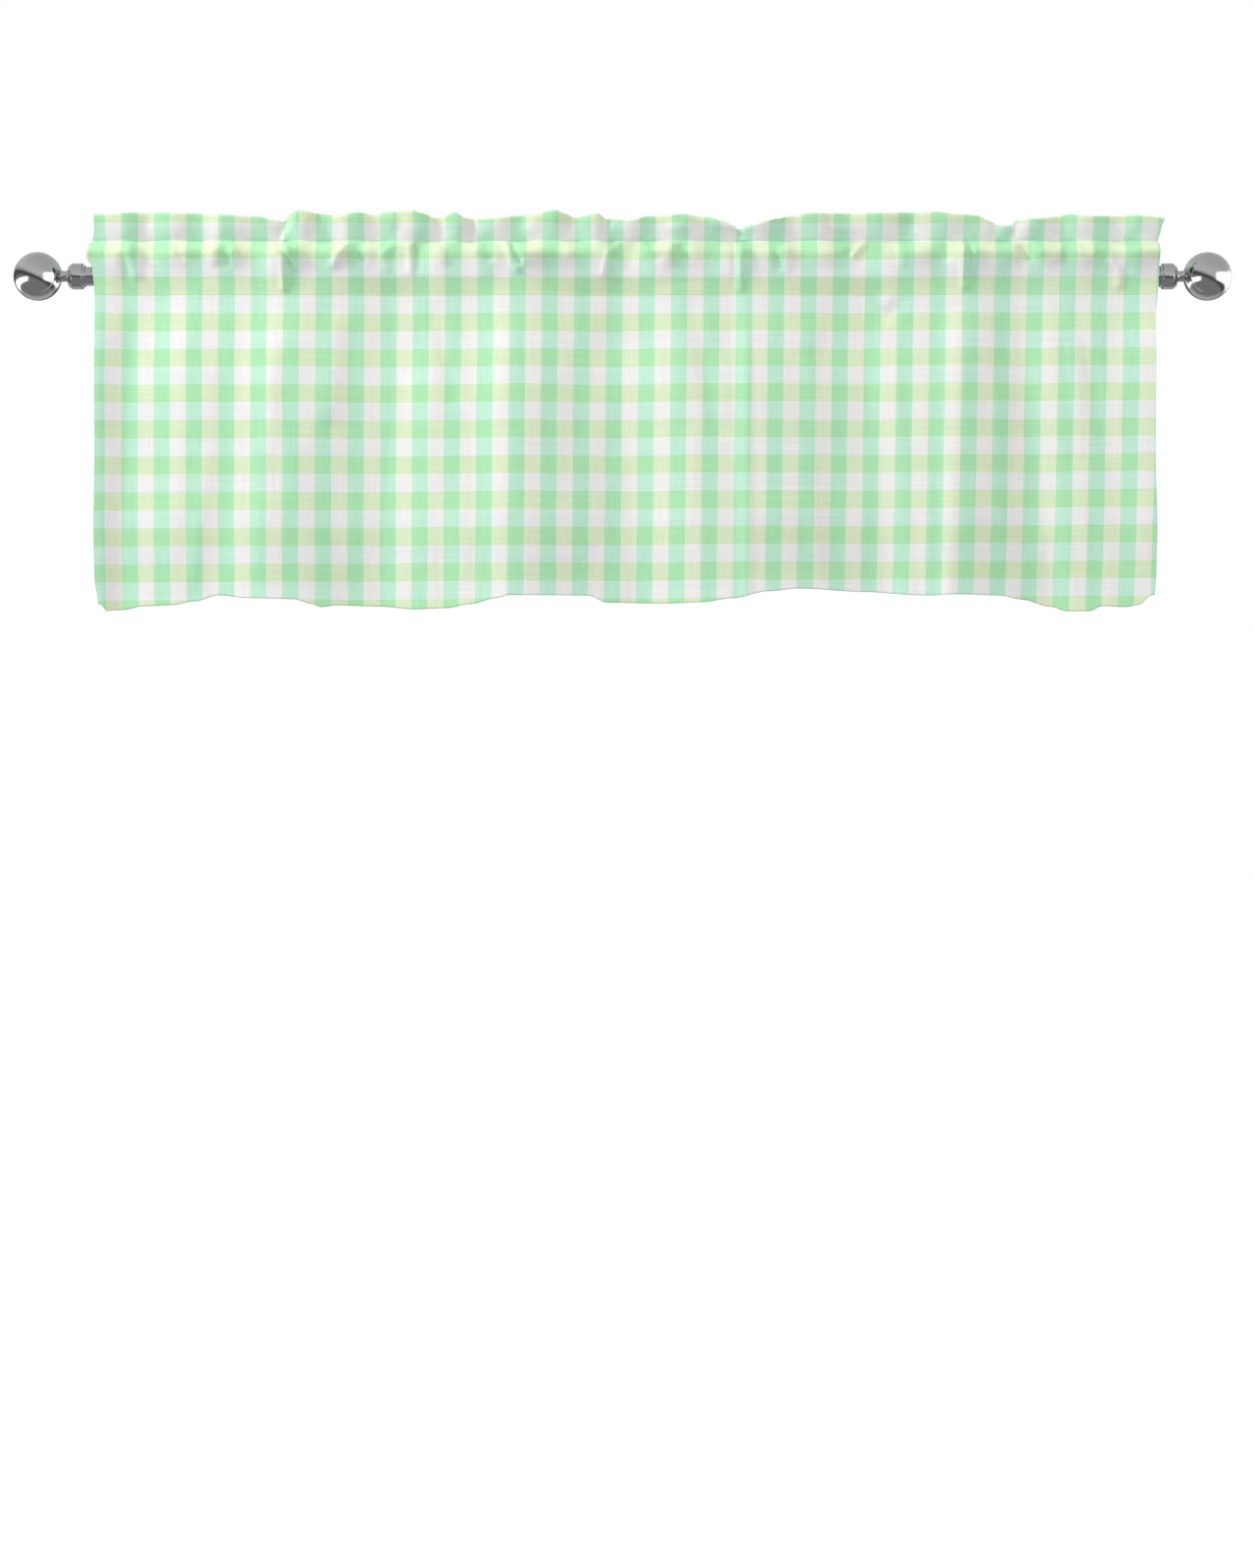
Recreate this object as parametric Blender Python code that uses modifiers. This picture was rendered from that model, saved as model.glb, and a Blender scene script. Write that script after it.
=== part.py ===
# Window valance on its curtain rod: one panel of cloth with a stand-up header, a rod pocket and a
# wavy hem, gathered a little onto a steel tube that ends in two polished ball finials.
# Metres, +Z up. The origin is on the rod's axis, midway between its ends. The room is at -Y.

from collections import namedtuple
from math import acos, atan2, cos, hypot, pi, sin, sqrt

import bmesh
import bpy

# Rod and finials
ROD_RADIUS = 0.011
ROD_WALL = 0.001
FIT = 0.0003                    # clearance between pieces that touch
BALL_RADIUS = 0.028
BALL_CENTRE_X = 0.6805          # from the middle of the rod to each ball's centre
COLLAR_MOUTH_X = 0.6245         # where each collar starts, on the cloth's side
COLLAR_LENGTH = 0.020
COLLAR_RADIUS = 0.015
COLLAR_LIP_RADIUS = 0.0125
COLLAR_LIP_LENGTH = 0.003
COLLAR_CHAMFER = 0.0045
COLLAR_CHAMFER_RISE = 0.0036
COLLAR_EASE = 0.0006            # the small rounding of the collar's edges
SOCKET_DEPTH = 0.014
NECK_RADIUS = 0.007
NECK_WAIST = 0.0062
STUD_RADIUS = 0.004
STUD_IN_BALL = 0.010
BALL_SEAT_RADIUS = 0.0085
TURNED_STEPS = 32

# Cloth
CLOTH_THICKNESS = 0.001
LEFT_EDGE_X = -0.6125
RIGHT_EDGE_X = 0.6190
UPPER_SEAM_Z = 0.040
LOWER_SEAM_Z = -0.0225
LOWER_SEAM_FORWARD = 0.005      # the heavier front layer draws this seam forward
TURN_IN = 0.006                 # cloth of the back layer below the lower seam
TURN_IN_BACK = 0.002            # how far that cloth leans away from the front layer
SEAM_REACH = 0.011              # how far from a seam the pocket follows the seam's gathers
HEADER_FLARE = 0.4              # how much deeper the gathers are at the header's top
HEADER_GAP = 0.0016             # between the middles of the header's two layers
SEAM_GAP = 0.0014
ROD_HUG_RADIUS = ROD_RADIUS + FIT + CLOTH_THICKNESS / 2 + 0.0004
POCKET_FULLNESS = 0.009         # how far a gather stands off the rod
POCKET_ROUNDNESS = 0.75         # how bluntly a gather ends at the seams: 1 is a plain arch
GATHER_DEPTH = 0.012            # from the back of the deepest gather to its front
GATHER_FADE = 0.080             # how far below the pocket the gathers die out
FOLD_START = 0.070              # how far below the pocket a fold reaches its upper depth
BODY_FORWARD = 0.006
EDGE_REACH = 0.020              # how far in from a side edge its own outline is felt

CLOTH_COLUMNS = 90
HEADER_LEVELS = (0.5, 0.97)      # of the header's two layers, short of the fold along its top
POCKET_LEVELS = (0.00, 0.12, 0.24, 0.35, 0.46, 0.58, 0.72, 0.86, 1.00)
BODY_LEVELS = (0.05, 0.12, 0.24, 0.40, 0.58, 0.76, 0.90, 1.00)

# The gathers along the header, left to right: how far each stands forward of the seam's own line,
# and how high the header's top edge is there.
Gather = namedtuple("Gather", "x forward header_top")
GATHERS = (
    Gather(-0.6135, 0.0000, 0.0735),
    Gather(-0.5800, 0.0040, 0.0745),
    Gather(-0.5530, -0.0035, 0.0750),
    Gather(-0.5200, 0.0035, 0.0745),
    Gather(-0.4890, -0.0030, 0.0735),
    Gather(-0.4620, 0.0040, 0.0725),
    Gather(-0.4260, -0.0020, 0.0700),
    Gather(-0.3925, -0.0055, 0.0665),
    Gather(-0.3730, 0.0065, 0.0765),
    Gather(-0.3450, -0.0030, 0.0720),
    Gather(-0.3130, 0.0040, 0.0725),
    Gather(-0.2850, -0.0045, 0.0740),
    Gather(-0.2430, 0.0050, 0.0780),
    Gather(-0.2140, -0.0040, 0.0700),
    Gather(-0.1930, 0.0045, 0.0750),
    Gather(-0.1760, -0.0040, 0.0680),
    Gather(-0.1430, 0.0035, 0.0680),
    Gather(-0.1150, -0.0035, 0.0730),
    Gather(-0.0810, 0.0050, 0.0775),
    Gather(-0.0540, -0.0045, 0.0700),
    Gather(-0.0300, 0.0045, 0.0745),
    Gather(-0.0140, -0.0035, 0.0665),
    Gather(0.0110, 0.0035, 0.0670),
    Gather(0.0400, -0.0030, 0.0715),
    Gather(0.0670, 0.0040, 0.0735),
    Gather(0.1010, -0.0015, 0.0690),
    Gather(0.1345, -0.0060, 0.0565),
    Gather(0.1640, 0.0045, 0.0670),
    Gather(0.1960, -0.0035, 0.0720),
    Gather(0.2290, 0.0050, 0.0735),
    Gather(0.2620, -0.0040, 0.0745),
    Gather(0.3000, 0.0040, 0.0740),
    Gather(0.3330, -0.0035, 0.0740),
    Gather(0.3660, 0.0050, 0.0755),
    Gather(0.4060, 0.0000, 0.0735),
    Gather(0.4430, -0.0055, 0.0605),
    Gather(0.4750, 0.0050, 0.0680),
    Gather(0.5100, -0.0035, 0.0725),
    Gather(0.5420, 0.0045, 0.0715),
    Gather(0.5760, -0.0040, 0.0710),
    Gather(0.6100, 0.0020, 0.0705),
    Gather(0.6310, -0.0010, 0.0660),
)

# The folds of the hanging part, left to right: where each ridge or valley runs near the pocket
# and at the hem, how far it stands forward or back there, and how low the hem is on it.
Fold = namedtuple("Fold", "top_x hem_x top_forward hem_forward hem_z")
FOLDS = (
    Fold(-0.6125, -0.6125, 0.0055, 0.0085, -0.3740),
    Fold(-0.6020, -0.6040, 0.0035, 0.0030, -0.3880),
    Fold(-0.5645, -0.5800, -0.0065, -0.0170, -0.3880),
    Fold(-0.4960, -0.5420, 0.0065, 0.0110, -0.3830),
    Fold(-0.4300, -0.4900, -0.0045, -0.0030, -0.3735),
    Fold(-0.3950, -0.4300, 0.0090, 0.0240, -0.3720),
    Fold(-0.3420, -0.3500, -0.0010, -0.0030, -0.3815),
    Fold(-0.2660, -0.2720, -0.0100, -0.0250, -0.3845),
    Fold(-0.2260, -0.2240, 0.0035, -0.0140, -0.3850),
    Fold(-0.1830, -0.1850, -0.0035, 0.0030, -0.3820),
    Fold(-0.1260, -0.1340, 0.0090, 0.0250, -0.3710),
    Fold(-0.0600, -0.0500, 0.0000, 0.0030, -0.3700),
    Fold(-0.0150, 0.0050, -0.0090, -0.0225, -0.3775),
    Fold(0.0740, 0.0600, 0.0055, -0.0030, -0.3780),
    Fold(0.0990, 0.0950, -0.0010, 0.0030, -0.3775),
    Fold(0.1820, 0.1820, 0.0100, 0.0250, -0.3650),
    Fold(0.2620, 0.2850, -0.0065, -0.0195, -0.3645),
    Fold(0.3990, 0.3740, 0.0100, 0.0240, -0.3690),
    Fold(0.4500, 0.4870, -0.0065, -0.0250, -0.3790),
    Fold(0.5240, 0.5240, 0.0065, 0.0030, -0.3870),
    Fold(0.5550, 0.5550, -0.0045, -0.0030, -0.3860),
    Fold(0.6040, 0.6040, 0.0045, 0.0125, -0.3810),
    Fold(0.6190, 0.6190, 0.0065, 0.0155, -0.3640),
)

# The outline of the two side edges: how far each stands outside its straight line, by height.
Side = namedtuple("Side", "z left_out right_out")
SIDES = (
    Side(0.0740, 0.0010, 0.0120),
    Side(0.0500, 0.0005, 0.0050),
    Side(0.0400, 0.0030, 0.0020),
    Side(0.0320, 0.0085, 0.0035),
    Side(0.0190, 0.0085, 0.0035),
    Side(0.0080, 0.0025, 0.0025),
    Side(-0.0100, 0.0010, 0.0025),
    Side(-0.0225, 0.0000, 0.0015),
    Side(-0.0500, -0.0005, -0.0010),
    Side(-0.2000, -0.0010, -0.0020),
    Side(-0.3000, 0.0005, 0.0005),
    Side(-0.3500, 0.0000, 0.0000),
    Side(-0.3900, -0.0050, -0.0030),
)

Finish = namedtuple("Finish", "colour roughness metallic")
FINISHES = {
    "gingham": Finish((0.62, 0.84, 0.66, 1.0), 0.90, 0.0),
    "polished_steel": Finish((0.55, 0.55, 0.56, 1.0), 0.15, 1.0),
}


def clear_scene():
    for thing in list(bpy.data.objects):
        bpy.data.objects.remove(thing)


def material(name):
    finish = FINISHES[name]
    made = bpy.data.materials.get(name) or bpy.data.materials.new(name)
    made.use_nodes = True
    shader = made.node_tree.nodes["Principled BSDF"]
    shader.inputs["Base Color"].default_value = finish.colour
    shader.inputs["Roughness"].default_value = finish.roughness
    shader.inputs["Metallic"].default_value = finish.metallic
    return made


def add_object(name, mesh, collection, finish):
    thing = bpy.data.objects.new(name, mesh)
    collection.objects.link(thing)
    mesh.materials.append(material(finish))
    return thing


def ease(share):
    """0 to 1 with a level start and end."""
    share = min(1.0, max(0.0, share))
    return share * share * (3 - 2 * share)


def between(places, values, place):
    """The value at a place, easing from each listed value to the next."""
    if place <= places[0]:
        return values[0]
    for start, end, first, last in zip(places, places[1:], values, values[1:]):
        if place <= end:
            return first + (last - first) * ease((place - start) / (end - start))
    return values[-1]


def column(rows, name):
    return [getattr(row, name) for row in rows]


def side_shift(x, z):
    """How far a point is moved across by the outline of the side edge that it is near."""
    heights = [-row.z for row in SIDES]
    left = between(heights, column(SIDES, "left_out"), -z)
    right = between(heights, column(SIDES, "right_out"), -z)
    near_left = ease(1 - (x - LEFT_EDGE_X) / EDGE_REACH)
    near_right = ease(1 - (RIGHT_EDGE_X - x) / EDGE_REACH)
    return right * near_right - left * near_left


def gather_forward(x):
    return between(column(GATHERS, "x"), column(GATHERS, "forward"), x)


def header_top(x):
    return between(column(GATHERS, "x"), column(GATHERS, "header_top"), x)


def hem_height(x):
    return between(column(FOLDS, "hem_x"), column(FOLDS, "hem_z"), x)


def layer_spread(x):
    """How much wider apart two layers are drawn where the gathers slope, to stay clear."""
    step = (RIGHT_EDGE_X - LEFT_EDGE_X) / CLOTH_COLUMNS / 2
    slope = (gather_forward(x + step) - gather_forward(x - step)) / (2 * step)
    return hypot(1.0, slope * (1 + HEADER_FLARE))


def tight_line(z, seam_z, seam_forward):
    """A layer drawn tight from a seam onto the rod: how far it is from the rod's middle plane."""
    z, seam_z = abs(z), abs(seam_z)
    turn = atan2(seam_forward, seam_z) + acos(ROD_HUG_RADIUS / hypot(seam_z, seam_forward))
    touch_z = ROD_HUG_RADIUS * cos(turn)
    touch_forward = ROD_HUG_RADIUS * sin(turn)
    if z <= touch_z:
        return sqrt(ROD_HUG_RADIUS**2 - z**2)
    return touch_forward + (seam_forward - touch_forward) * (z - touch_z) / (seam_z - touch_z)


def pocket_forward(x, z, front):
    """How far forward one of the pocket's two layers is."""
    side = 1 if front else -1
    half_gap = SEAM_GAP / 2 * layer_spread(x)
    if z > 0:
        tight = tight_line(z, UPPER_SEAM_Z, half_gap)
    else:
        tight = tight_line(z, LOWER_SEAM_Z, side * LOWER_SEAM_FORWARD + half_gap)
    level = (z - LOWER_SEAM_Z) / (UPPER_SEAM_Z - LOWER_SEAM_Z)
    sway = gather_forward(x)
    arch = sin(pi * level) ** POCKET_ROUNDNESS
    off_rod = POCKET_FULLNESS * (0.5 + side * sway / GATHER_DEPTH) * arch
    seam_share = ease(1 - min(z - LOWER_SEAM_Z, UPPER_SEAM_Z - z) / SEAM_REACH)
    return side * (tight + max(0.0, off_rod)) + sway * seam_share


def fold_forward(x, share):
    """The folds of the hanging part, share 0 just under the pocket and 1 at the hem."""
    places = [row.top_x + (row.hem_x - row.top_x) * share for row in FOLDS]
    start = ease(share * (LOWER_SEAM_Z - hem_height(x)) / FOLD_START)
    depths = [
        (row.top_forward + (row.hem_forward - row.top_forward) * share) * start for row in FOLDS
    ]
    return between(places, depths, x)


def body_point(x, share):
    z = LOWER_SEAM_Z + (hem_height(x) - LOWER_SEAM_Z) * share
    seam_forward = LOWER_SEAM_FORWARD + SEAM_GAP / 2
    settled = seam_forward + (BODY_FORWARD - seam_forward) * share
    fading = ease(1 - (LOWER_SEAM_Z - z) / GATHER_FADE)
    forward = settled + gather_forward(x) * fading + fold_forward(x, share)
    return x + side_shift(x, z), -forward, z


def pocket_point(x, level, front):
    """A point of the pocket, level 0 at the lower seam and 1 at the upper one."""
    z = LOWER_SEAM_Z + (UPPER_SEAM_Z - LOWER_SEAM_Z) * level
    return x + side_shift(x, z), -pocket_forward(x, z, front), z


def header_point(x, share, gap):
    """A point of the header, share 0 at the upper seam and 1 at the top fold."""
    z = UPPER_SEAM_Z + (header_top(x) - UPPER_SEAM_Z) * share
    forward = gather_forward(x) * (1 + HEADER_FLARE * share) + gap * layer_spread(x)
    return x + side_shift(x, z), -forward, z


def turn_in_point(x):
    seam_x, seam_y, seam_z = pocket_point(x, 0.0, front=False)
    return seam_x, seam_y + TURN_IN_BACK, seam_z - TURN_IN


def cloth_lines():
    """The panel's lines from its turned-in edge behind the pocket, over the header, to the hem."""
    lines = [turn_in_point]
    for level in POCKET_LEVELS:
        lines.append(lambda x, level=level: pocket_point(x, level, front=False))
    half = HEADER_GAP / 2
    rising = [(share, -half) for share in HEADER_LEVELS]
    falling = [(share, half) for share in reversed(HEADER_LEVELS)]
    for share, gap in (*rising, (1.0, 0.0), *falling):
        lines.append(lambda x, share=share, gap=gap: header_point(x, share, gap))
    for level in reversed(POCKET_LEVELS):
        lines.append(lambda x, level=level: pocket_point(x, level, front=True))
    for share in BODY_LEVELS:
        lines.append(lambda x, share=share: body_point(x, share))
    return lines


def build_cloth(collection):
    """One sheet: a flat grid that is bent into the hanging panel, then given its thickness."""
    lines = cloth_lines()
    sheet = bmesh.new()
    bmesh.ops.create_grid(
        sheet, x_segments=CLOTH_COLUMNS, y_segments=len(lines) - 1, size=0.5
    )
    for vertex in sheet.verts:
        x = LEFT_EDGE_X + (RIGHT_EDGE_X - LEFT_EDGE_X) * (vertex.co.x + 0.5)
        line = lines[round((vertex.co.y + 0.5) * (len(lines) - 1))]
        vertex.co = line(x)
    bmesh.ops.recalc_face_normals(sheet, faces=sheet.faces)
    mesh = bpy.data.meshes.new("valance_cloth")
    sheet.to_mesh(mesh)
    sheet.free()
    cloth = add_object("valance_cloth", mesh, collection, "gingham")
    thickness = cloth.modifiers.new("thickness", "SOLIDIFY")
    thickness.thickness = CLOTH_THICKNESS
    thickness.offset = 0.0
    thickness.use_even_offset = True
    mesh.shade_smooth()


def turned(name, profile, collection, side):
    """A piece turned about the rod's axis. The profile is (radius, distance out from the collar's
    mouth) from its outer end inwards; side is -1 for the left end of the rod and 1 for the right."""
    outline = bmesh.new()
    points = [outline.verts.new((radius, 0.0, out)) for radius, out in profile]
    for first, second in zip(points, points[1:]):
        outline.edges.new((first, second))
    if profile[0][0] > 0:
        outline.edges.new((points[-1], points[0]))
    mesh = bpy.data.meshes.new(name)
    outline.to_mesh(mesh)
    outline.free()
    piece = add_object(name, mesh, collection, "polished_steel")
    piece.location = (side * COLLAR_MOUTH_X, 0.0, 0.0)
    piece.rotation_euler = (0.0, side * pi / 2, 0.0)
    lathe = piece.modifiers.new("lathe", "SCREW")
    lathe.steps = TURNED_STEPS
    lathe.render_steps = TURNED_STEPS
    lathe.use_merge_vertices = True
    lathe.merge_threshold = 0.00005
    lathe.use_smooth_shade = True
    return piece


def build_rod(collection):
    """A plain steel tube that runs through the pocket and ends in the collars' sockets."""
    end = COLLAR_MOUTH_X + SOCKET_DEPTH - FIT
    inner = ROD_RADIUS - ROD_WALL
    profile = (
        (ROD_RADIUS, end - COLLAR_MOUTH_X),
        (ROD_RADIUS, -end - COLLAR_MOUTH_X),
        (inner, -end - COLLAR_MOUTH_X),
        (inner, end - COLLAR_MOUTH_X),
    )
    turned("rod_tube", profile, collection, side=1)


def collar_profile():
    bore = ROD_RADIUS + FIT
    hole = STUD_RADIUS + FIT
    return (
        (COLLAR_RADIUS - COLLAR_CHAMFER_RISE, COLLAR_LENGTH),
        (COLLAR_RADIUS - COLLAR_EASE, COLLAR_LENGTH - COLLAR_CHAMFER),
        (COLLAR_RADIUS, COLLAR_LENGTH - COLLAR_CHAMFER - COLLAR_EASE),
        (COLLAR_RADIUS, COLLAR_LIP_LENGTH + COLLAR_EASE),
        (COLLAR_RADIUS - COLLAR_EASE, COLLAR_LIP_LENGTH),
        (COLLAR_LIP_RADIUS, COLLAR_LIP_LENGTH),
        (COLLAR_LIP_RADIUS, 0.0),
        (bore, 0.0),
        (bore, SOCKET_DEPTH),
        (hole, SOCKET_DEPTH),
        (hole, COLLAR_LENGTH),
    )


def ball_seat():
    """How far out from the collar's mouth the ball's flat seat is."""
    centre = BALL_CENTRE_X - COLLAR_MOUTH_X
    return centre - sqrt(BALL_RADIUS**2 - BALL_SEAT_RADIUS**2)


def neck_profile():
    start = COLLAR_LENGTH + FIT
    end = ball_seat() - FIT
    middle = (start + end) / 2
    return (
        (0.0, end + STUD_IN_BALL),
        (STUD_RADIUS, end + STUD_IN_BALL),
        (STUD_RADIUS, end),
        (NECK_RADIUS, end),
        (NECK_WAIST, middle),
        (NECK_RADIUS, start),
        (STUD_RADIUS, start),
        (STUD_RADIUS, SOCKET_DEPTH + FIT),
        (0.0, SOCKET_DEPTH + FIT),
    )


def ball_profile():
    centre = BALL_CENTRE_X - COLLAR_MOUTH_X
    seat = ball_seat()
    last = pi - atan2(BALL_SEAT_RADIUS, centre - seat)
    steps = TURNED_STEPS // 2
    round_side = [
        (BALL_RADIUS * sin(last * step / steps), centre + BALL_RADIUS * cos(last * step / steps))
        for step in range(steps + 1)
    ]
    hole = STUD_RADIUS + FIT
    depth = seat + STUD_IN_BALL + FIT
    return (*round_side, (hole, seat), (hole, depth), (0.0, depth))


def build_finials(collection):
    for name, side in (("left", -1), ("right", 1)):
        turned(f"collar_{name}", collar_profile(), collection, side)
        turned(f"finial_neck_{name}", neck_profile(), collection, side)
        turned(f"finial_ball_{name}", ball_profile(), collection, side)


def main():
    clear_scene()
    collection = bpy.data.collections.new("window_valance")
    bpy.context.scene.collection.children.link(collection)
    build_rod(collection)
    build_finials(collection)
    build_cloth(collection)


main()
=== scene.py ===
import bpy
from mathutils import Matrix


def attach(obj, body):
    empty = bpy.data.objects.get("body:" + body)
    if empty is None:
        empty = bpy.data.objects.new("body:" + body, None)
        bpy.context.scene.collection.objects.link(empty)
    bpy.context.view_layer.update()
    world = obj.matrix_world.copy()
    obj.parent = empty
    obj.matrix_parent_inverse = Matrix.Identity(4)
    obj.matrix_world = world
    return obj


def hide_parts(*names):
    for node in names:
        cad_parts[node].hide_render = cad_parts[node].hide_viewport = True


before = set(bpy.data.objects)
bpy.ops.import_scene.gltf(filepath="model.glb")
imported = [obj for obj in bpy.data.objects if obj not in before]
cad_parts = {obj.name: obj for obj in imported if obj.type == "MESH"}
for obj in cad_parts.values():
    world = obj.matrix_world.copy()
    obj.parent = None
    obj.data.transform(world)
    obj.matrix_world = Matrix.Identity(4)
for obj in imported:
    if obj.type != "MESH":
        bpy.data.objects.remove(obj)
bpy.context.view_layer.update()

import math
from collections import namedtuple

import bmesh
import bpy
import numpy as np
from mathutils import Vector

# A checked window valance on its polished rod. Metres, +Z up, the room is at -Y.

cloth = dict(
    columns=405,
    thickness=0.0007,
    leftEdge=-0.6125,
    rightEdge=0.6190,
    upperSeam=0.040,
    upperForward=0.0080,    # the header and its seam lean out over the rod
    lowerSeam=-0.0225,
    seamForward=0.0095,      # the lower seam is drawn forward by the front layer
    seamGap=0.0012,
    headerGap=0.0022,
    headerFlare=0.15,
    headerPuff=0.0026,      # how far the two layers of the header stand apart
    hugRadius=0.0122,
    headerLean=0.0075,
    headerDrop=0.0032,      # the camera looks up at the header, which stands forward
    pocketFullness=0.0086,  # the front of the pocket, at its fullest level
    pocketPeak=0.76,
    backFullness=0.0030,
    pocketFold=0.60,        # how much of the folds' depth carries up through the pocket
    foldStart=0.070,
    foldRoundness=0.85,
    seamSwing=0.45,
    bodyShares=(0.0, 0.35, 0.70, 1.0),
    bodyForwards=(0.0, 0.005, 0.003, -0.0045),
    ripples=(               # width and height of a ripple over 2 pi, where it starts, its depth
        (0.0105, 0.0420, 0.3, 0.00022),
        (0.0067, 0.0230, 1.9, 0.00013),
        (0.0183, 0.0310, 4.1, 0.00030),
        (0.0041, 0.0620, 2.7, 0.00007),
    ),
    edgeReach=0.020,
    turnIn=0.006,
    turnInBack=0.002,
    hemShare=0.037,         # of the hanging part, folded up behind
    hemGap=0.0015,
)

check = dict(
    acrossPeriod=0.0374376, acrossStart=-0.72162,   # middle of a green stripe
    downPeriod=0.0413592, downStart=0.31806,        # middle of a yellow-green stripe
    lean=-0.0155, tilt=0.0125,
    edge=0.0007,
    green=(0.418, 0.768, 0.440),
    mint=(0.527, 0.815, 0.638),
    yellow=(0.694, 0.807, 0.558),
    white=(0.830, 0.830, 0.823),
)

stitch = dict(pitch=0.0036, length=0.0027, radius=0.00022, sides=5)
rod = dict(radius=0.011, wall=0.001, mouth=0.6245, socket=0.014, fit=0.0003, steps=96)
collar = dict(length=0.020, radius=0.015, lipRadius=0.0125, lipLength=0.003, chamfer=0.0045, rise=0.0036)
neck = dict(radius=0.007, waist=0.0062, stud=0.004, seated=0.010)
ball = dict(radius=0.028, centre=0.6805, seat=0.0085)

view = dict(distance=4.5, centreX=0.0051, centreZ=-0.5905, longSide=1.824)

# Gathers along the upper seam and the header: how far each stands forward.
Gather = namedtuple("Gather", "x forward")
gathers = (
    Gather(-0.6135, 0.0000),
    Gather(-0.5800, 0.0024),
    Gather(-0.5530, -0.0021),
    Gather(-0.5200, 0.0021),
    Gather(-0.4890, -0.0018),
    Gather(-0.4620, 0.0024),
    Gather(-0.4260, -0.0012),
    Gather(-0.3925, -0.0033),
    Gather(-0.3730, 0.0039),
    Gather(-0.3450, -0.0018),
    Gather(-0.3130, 0.0024),
    Gather(-0.2850, -0.0027),
    Gather(-0.2430, 0.0030),
    Gather(-0.2140, -0.0024),
    Gather(-0.1930, 0.0027),
    Gather(-0.1760, -0.0024),
    Gather(-0.1430, 0.0021),
    Gather(-0.1150, -0.0021),
    Gather(-0.0810, 0.0030),
    Gather(-0.0540, -0.0027),
    Gather(-0.0300, 0.0027),
    Gather(-0.0140, -0.0021),
    Gather(0.0110, 0.0021),
    Gather(0.0400, -0.0018),
    Gather(0.0670, 0.0024),
    Gather(0.1010, -0.0009),
    Gather(0.1345, -0.0036),
    Gather(0.1640, 0.0027),
    Gather(0.1960, -0.0021),
    Gather(0.2290, 0.0030),
    Gather(0.2620, -0.0024),
    Gather(0.3000, 0.0024),
    Gather(0.3330, -0.0021),
    Gather(0.3660, 0.0030),
    Gather(0.4060, 0.0000),
    Gather(0.4430, -0.0033),
    Gather(0.4750, 0.0030),
    Gather(0.5100, -0.0021),
    Gather(0.5420, 0.0027),
    Gather(0.5760, -0.0024),
    Gather(0.6100, 0.0012),
    Gather(0.6310, -0.0006),
)

# Ridges and valleys of the hanging part, near the pocket and at the hem.
Fold = namedtuple("Fold", "topX hemX topForward hemForward")
folds = (
    Fold(-0.6128, -0.6128, 0.0080, 0.0090),
    Fold(-0.5649, -0.5820, -0.0035, 0.0000),
    Fold(-0.4965, -0.5215, 0.0045, 0.0040),
    Fold(-0.4395, -0.4759, 0.0020, 0.0030),
    Fold(-0.3962, -0.4110, 0.0068, 0.0100),
    Fold(-0.2628, -0.2822, -0.0100, -0.0080),
    Fold(-0.2172, -0.2172, -0.0030, 0.0010),
    Fold(-0.1807, -0.1773, -0.0050, 0.0070),
    Fold(-0.1283, -0.1317, 0.0056, 0.0135),
    Fold(-0.0131, 0.0165, -0.0120, -0.0100),
    Fold(0.0644, 0.0986, 0.0040, 0.0065),
    Fold(0.1265, 0.1290, -0.0020, 0.0080),
    Fold(0.1440, 0.1450, 0.0035, 0.0108),
    Fold(0.1540, 0.1550, 0.0020, 0.0090),
    Fold(0.2764, 0.3049, -0.0100, -0.0095),
    Fold(0.3150, 0.3420, -0.0015, -0.0020),
    Fold(0.3640, 0.3600, 0.0030, 0.0020),
    Fold(0.3950, 0.3800, 0.0100, 0.0080),
    Fold(0.4566, 0.4976, -0.0040, -0.0115),
    Fold(0.5000, 0.5290, 0.0040, -0.0020),
    Fold(0.5238, 0.5450, 0.0070, 0.0000),
    Fold(0.5637, 0.5694, 0.0030, 0.0030),
    Fold(0.6190, 0.6190, 0.0110, 0.0090),
)

# How low the hem hangs.
Hem = namedtuple("Hem", "x z")
hemLine = (
    Hem(-0.6105, -0.3808),
    Hem(-0.6013, -0.3887),
    Hem(-0.5831, -0.3876),
    Hem(-0.5557, -0.3830),
    Hem(-0.5238, -0.3819),
    Hem(-0.4965, -0.3773),
    Hem(-0.4691, -0.3705),
    Hem(-0.4326, -0.3739),
    Hem(-0.3825, -0.3751),
    Hem(-0.3597, -0.3808),
    Hem(-0.3505, -0.3842),
    Hem(-0.3323, -0.3819),
    Hem(-0.2822, -0.3830),
    Hem(-0.2411, -0.3865),
    Hem(-0.2046, -0.3853),
    Hem(-0.1773, -0.3808),
    Hem(-0.1454, -0.3739),
    Hem(-0.1317, -0.3705),
    Hem(-0.0861, -0.3705),
    Hem(-0.0405, -0.3705),
    Hem(-0.0177, -0.3785),
    Hem(0.0553, -0.3796),
    Hem(0.0918, -0.3785),
    Hem(0.1283, -0.3739),
    Hem(0.1693, -0.3659),
    Hem(0.2058, -0.3625),
    Hem(0.2787, -0.3659),
    Hem(0.3563, -0.3705),
    Hem(0.3927, -0.3694),
    Hem(0.4383, -0.3705),
    Hem(0.4657, -0.3751),
    Hem(0.4976, -0.3830),
    Hem(0.5181, -0.3887),
    Hem(0.5432, -0.3887),
    Hem(0.5569, -0.3830),
    Hem(0.5842, -0.3842),
    Hem(0.5979, -0.3819),
    Hem(0.6162, -0.3705),
)

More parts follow.
